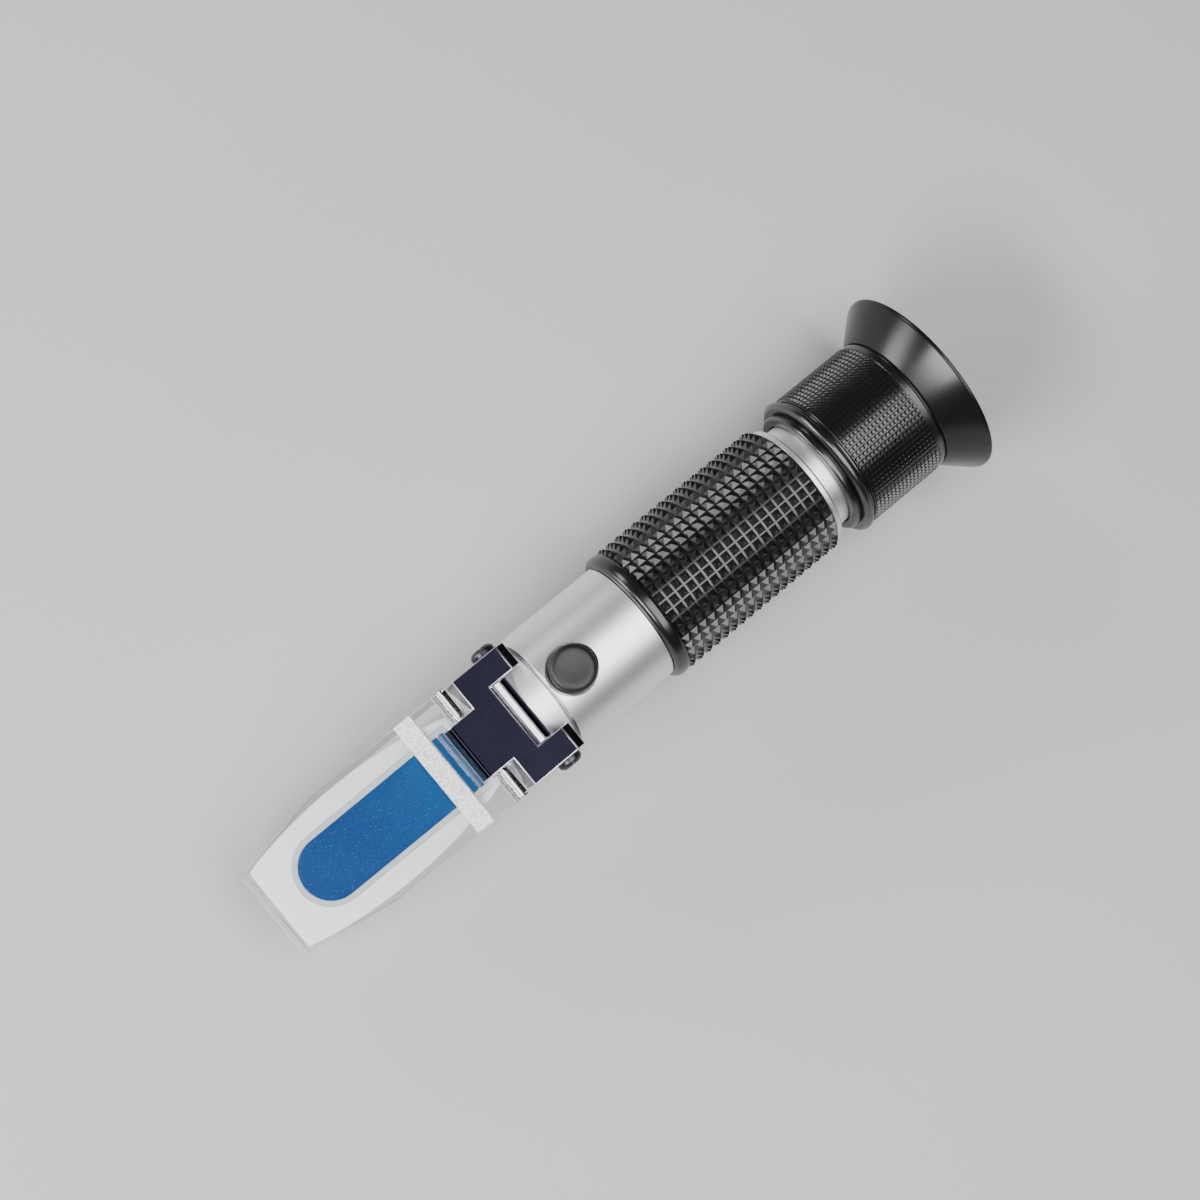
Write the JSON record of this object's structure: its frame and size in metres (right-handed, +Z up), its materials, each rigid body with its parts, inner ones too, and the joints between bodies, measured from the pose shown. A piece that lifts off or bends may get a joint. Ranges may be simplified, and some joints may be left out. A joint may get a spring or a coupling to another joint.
{
  "type": "hand-held refractometer",
  "caption": "Hand-held optical refractometer with a hinged clear daylight plate over an inclined glass prism, a rubber grip, a capped calibration port and a focusing eyepiece.",
  "frame": {"origin": "on the optical axis, midway between the daylight plate's front edge and the eyecup's rim", "axes": "+X along the optical axis from the prism end to the eyepiece, +Z up on the daylight plate's side"},
  "size_m": [0.1678, 0.042, 0.042],
  "materials": {
    "satin_aluminium": "satin",
    "bright_chrome": "polished, fine sandblast on the inclined face",
    "dark_chrome": "dark mirror",
    "black_rubber": "semi-gloss moulded",
    "black_plastic": "semi-gloss",
    "black_anodised": "matt black",
    "steel": "turned",
    "brass": "turned",
    "bimetal": "rolled strip",
    "sealant": "satin",
    "blue_glass": "polished",
    "clear_glass": "polished",
    "clear_acrylic": "polished"
  },
  "bodies": {
    "barrel": {"main_tube": "satin_aluminium", "rubber_grip": "black_rubber", "rear_collar": "satin_aluminium", "prism_holder": "bright_chrome", "prism": "blue_glass", "prism_seal": "sealant", "hinge_block": "dark_chrome", "hinge_pin": "steel", "hinge_screw_left": "steel", "hinge_screw_right": "steel", "calibration_bushing": "brass", "bimetal_strip_top": "bimetal", "bimetal_strip_bottom": "bimetal", "strip_carrier": "black_anodised", "strip_screw_top": "steel", "strip_screw_bottom": "steel", "aperture_stop": "black_anodised", "reticle_holder": "black_anodised", "reticle": "clear_glass", "reticle_retainer": "black_anodised", "nose_o_ring": "black_rubber", "neck_o_ring": "black_rubber"},
    "flap": {"daylight_plate": "clear_acrylic"},
    "port_cap": {"calibration_cap": "black_rubber"},
    "objective": {"lens_cell": "black_anodised", "objective_lens": "clear_glass", "objective_retainer": "black_anodised"},
    "adjuster": {"calibration_screw": "steel"},
    "eyepiece": {"lens_barrel": "black_anodised", "guide_pin": "steel", "field_lens": "clear_glass", "lens_spacer": "black_anodised", "eye_lens": "clear_glass", "lens_retainer": "black_anodised"},
    "focus": {"focus_ring": "black_plastic", "ring_retainer": "black_anodised", "eyecup": "black_rubber"}
  },
  "joints": [
    {"name": "plate_hinge", "type": "hinge", "parent": "barrel", "child": "flap", "pos_m": [-0.03458, 0, 0.01091], "axis": [0, 1, 0], "range_deg": [0, 115]},
    {"name": "cap_pull", "type": "slide", "parent": "barrel", "child": "port_cap", "axis": [0, 0, 1], "range_m": [0, 0.012]},
    {"name": "lens_shift", "type": "slide", "parent": "barrel", "child": "objective", "axis": [0, 0, 1], "range_m": [-0.0005, 0.0005], "deforming": ["bimetal_strip_top", "bimetal_strip_bottom"]},
    {"name": "calibration_turn", "type": "hinge", "parent": "objective", "child": "adjuster", "pos_m": [-0.01188, 0, 0], "axis": [0, 0, 1], "range_deg": [-361, 361]},
    {"name": "eyepiece_travel", "type": "slide", "parent": "barrel", "child": "eyepiece", "axis": [1, 0, 0], "range_m": [-0.00241, 0.00301]},
    {"name": "focus_turn", "type": "hinge", "parent": "eyepiece", "child": "focus", "pos_m": [0, 0, 0], "axis": [1, 0, 0], "range_deg": [-144, 180]}
  ],
  "couplings": [
    {"joint": "calibration_turn", "follows": "lens_shift", "rad_per_m": 12566},
    {"joint": "eyepiece_travel", "follows": "focus_turn", "m_per_rad": 0.00095493}
  ]
}
